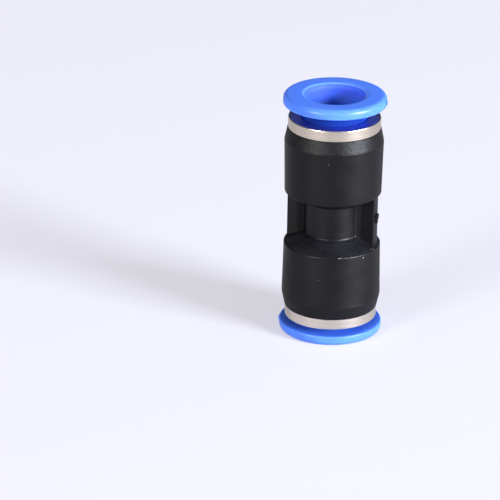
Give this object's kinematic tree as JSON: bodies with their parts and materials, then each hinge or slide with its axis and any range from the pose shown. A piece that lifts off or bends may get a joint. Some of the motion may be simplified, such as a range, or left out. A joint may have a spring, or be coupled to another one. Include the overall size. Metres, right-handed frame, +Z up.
{
  "type": "straight push-fit connector",
  "caption": "Straight push-fit connector that joins two tubes of one size in line, with a black waisted body, metal collar rings and blue flanged release sleeves.",
  "frame": {"origin": "centre of the lower flange's outer face, on which the connector stands", "axes": "+Z up along the tube axis; +X through the waist web that carries the gate mark"},
  "size_m": [0.019, 0.0186, 0.0453],
  "materials": {
    "moulded_body": "satin",
    "blue_sleeve": "satin",
    "plated_brass": "polished",
    "spring_steel": "satin",
    "spacer_plastic": "satin",
    "seal_rubber": "matte"
  },
  "bodies": {
    "root": {"body": "moulded_body", "upper_collar_ring": "plated_brass", "lower_collar_ring": "plated_brass", "upper_lock_claw": "spring_steel", "lower_lock_claw": "spring_steel", "upper_back_ring": "spacer_plastic", "lower_back_ring": "spacer_plastic", "upper_seal_ring": "seal_rubber", "lower_seal_ring": "seal_rubber"},
    "upper_sleeve": {"upper_release_sleeve": "blue_sleeve"},
    "lower_sleeve": {"lower_release_sleeve": "blue_sleeve"}
  },
  "joints": [
    {"name": "upper_sleeve_press", "type": "slide", "parent": "root", "child": "upper_sleeve", "axis": [0, 0, -1], "range_m": [0, 0.0022], "deforming": ["upper_lock_claw"]},
    {"name": "lower_sleeve_press", "type": "slide", "parent": "root", "child": "lower_sleeve", "axis": [0, 0, 1], "range_m": [-0.0014, 0.0008], "deforming": ["lower_lock_claw"]}
  ]
}
